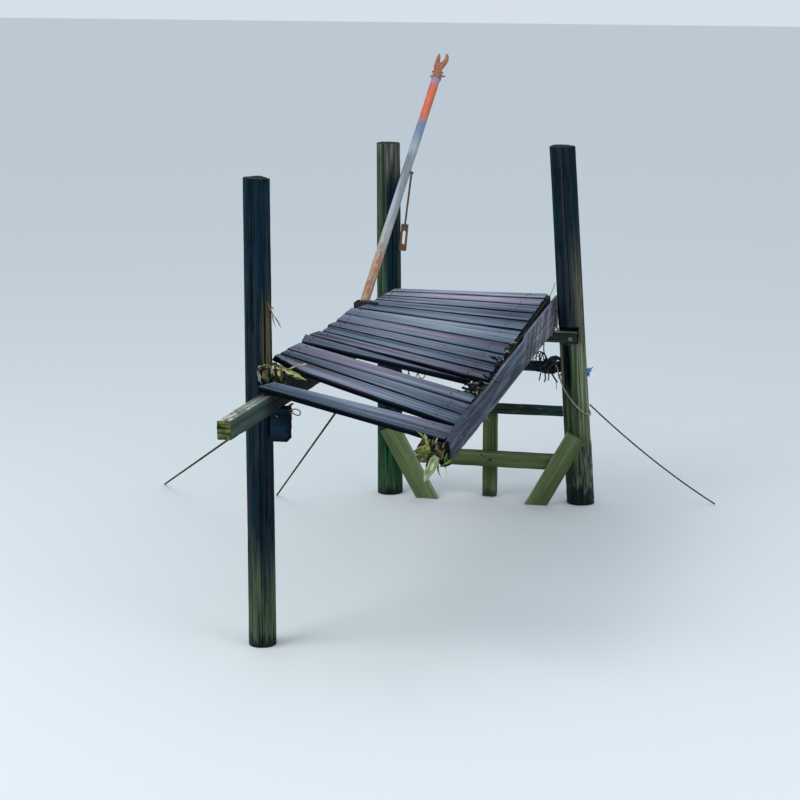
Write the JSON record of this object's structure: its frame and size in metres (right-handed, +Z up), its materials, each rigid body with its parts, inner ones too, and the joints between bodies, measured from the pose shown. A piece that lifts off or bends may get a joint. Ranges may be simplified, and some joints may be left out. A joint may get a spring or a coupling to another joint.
{
  "type": "wooden jetty",
  "caption": "Broken bay of a timber jetty: a warped plank deck between tarred piles, with braces, rails, mooring ropes and a leaning pole with a forked head.",
  "frame": {"origin": "centre of the back left pile's foot, at the water", "axes": "+X across the deck to the other back pile, +Y along the deck to the back, +Z up"},
  "size_m": [5.1706, 7.1067, 3.9806],
  "materials": {
    "tarred_pile": "tarred timber, green towards the water",
    "deck_wood": "weathered grey planks",
    "stringer_wood": "split weathered board",
    "olive_wood": "timber green with algae",
    "dark_wood": "dark wet timber",
    "mossy_wood": "rotten mossy timber",
    "painted_pole": "peeling red and grey paint",
    "rusty_steel": "rusty steel",
    "rope": "weathered rope"
  },
  "bodies": {
    "root": {"back_crosshead": "mossy_wood", "bracket_pin": "rusty_steel", "crosshead_stub": "mossy_wood", "deck_plank_01": "deck_wood", "deck_plank_02": "deck_wood", "deck_plank_03": "deck_wood", "deck_plank_04": "deck_wood", "deck_plank_05": "deck_wood", "deck_plank_06": "deck_wood", "deck_plank_07": "deck_wood", "deck_plank_08": "deck_wood", "deck_plank_09": "deck_wood", "deck_plank_10": "deck_wood", "deck_plank_11": "deck_wood", "deck_plank_12": "deck_wood", "deck_plank_13": "deck_wood", "deck_plank_14": "deck_wood", "fork_head": "rusty_steel", "fork_pin_lower": "rusty_steel", "fork_pin_upper": "rusty_steel", "front_plank": "deck_wood", "hanger_bolt": "rusty_steel", "hanging_bar": "rusty_steel", "leaning_pole": "painted_pole", "left_bearer": "mossy_wood", "left_brace": "olive_wood", "left_deck_beam": "mossy_wood", "lower_rail": "olive_wood", "middle_post": "olive_wood", "mooring_rope_left": "rope", "mooring_rope_middle": "rope", "mooring_rope_right": "rope", "pile_back_left": "tarred_pile", "pile_back_right": "tarred_pile", "pile_front_left": "tarred_pile", "pile_rope_turn": "rope", "pole_bracket": "rusty_steel", "right_bearer_stub": "mossy_wood", "right_brace": "olive_wood", "right_deck_beam": "mossy_wood", "right_stringer": "stringer_wood", "rope_lashing": "rope", "rope_rail": "dark_wood", "shackle": "rusty_steel", "upper_rail": "dark_wood"}
  },
  "joints": []
}
